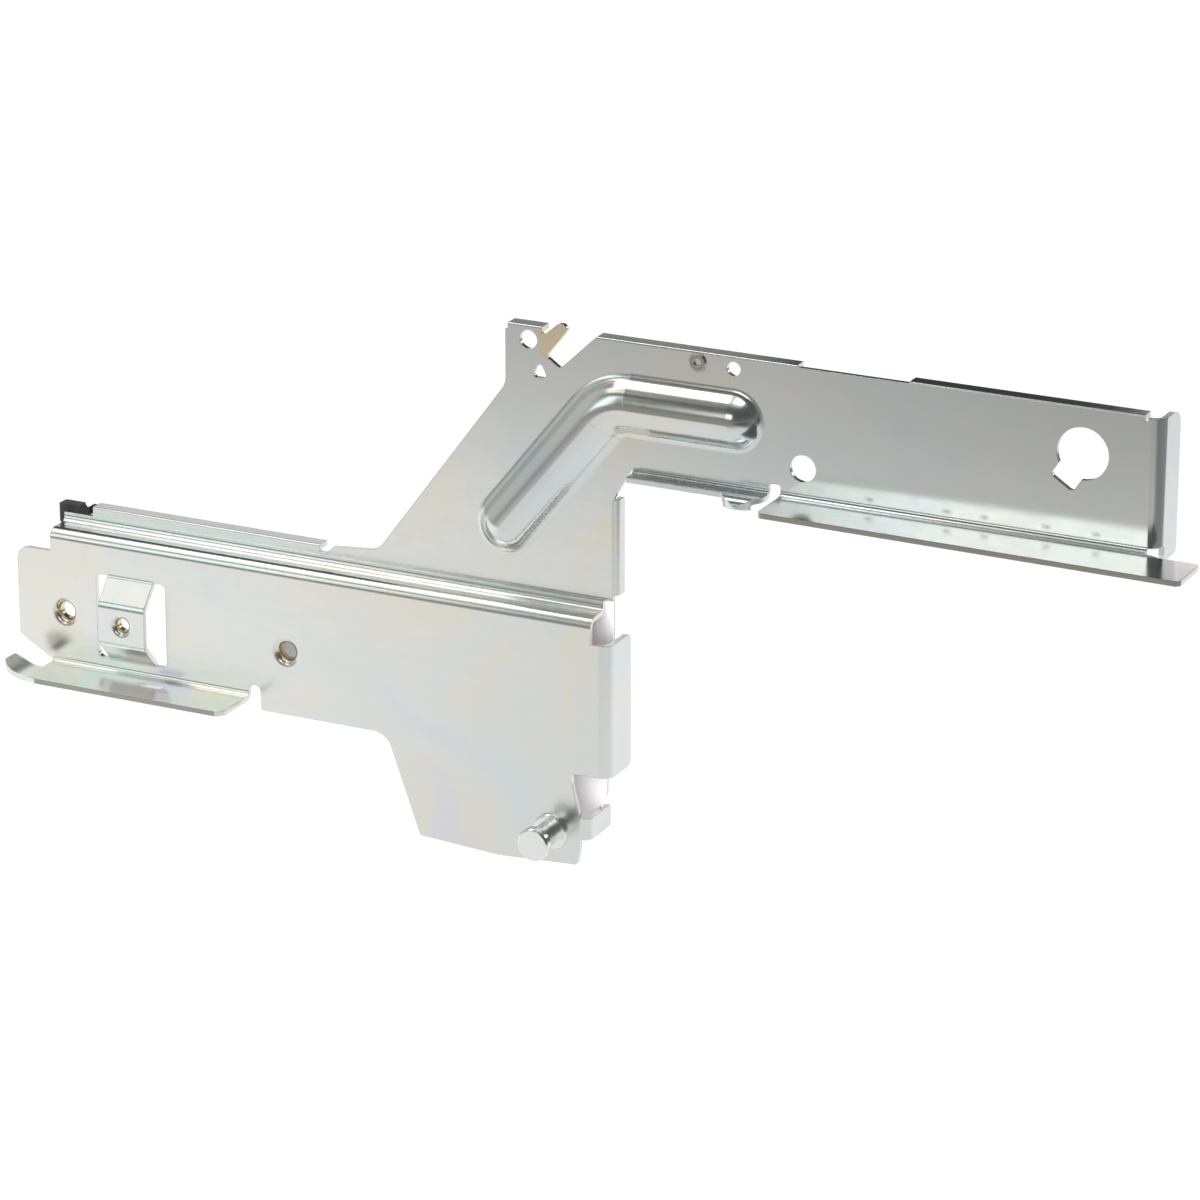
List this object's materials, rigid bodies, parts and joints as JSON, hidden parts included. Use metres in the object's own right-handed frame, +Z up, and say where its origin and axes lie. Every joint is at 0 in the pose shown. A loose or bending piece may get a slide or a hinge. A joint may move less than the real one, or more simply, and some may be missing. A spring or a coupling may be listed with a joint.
{
  "type": "hinge bracket",
  "caption": "Folded sheet-steel door hinge bracket: a long ribbed arm joined behind a flanged mounting plate, with a headed pivot stud, screw holes, a keyhole and a hook notch.",
  "frame": {"origin": "on the pivot stud's axis, in the middle of the neck between its head and its collar", "axes": "+X along the arm to its free end, +Y through the sheets toward the back, +Z up toward the arm"},
  "size_m": [0.3654, 0.0395, 0.1586],
  "materials": {
    "zinc_plate": "bright zinc with a faint rainbow passivation",
    "zinc_arm": "bright zinc with a faint rainbow passivation",
    "zinc_stud": "turned steel, bright zinc",
    "black_rubber": "moulded, dull"
  },
  "bodies": {
    "root": {"front_channel": "zinc_plate", "hinge_arm": "zinc_arm", "pivot_stud": "zinc_stud", "rubber_buffer": "black_rubber"}
  },
  "joints": []
}
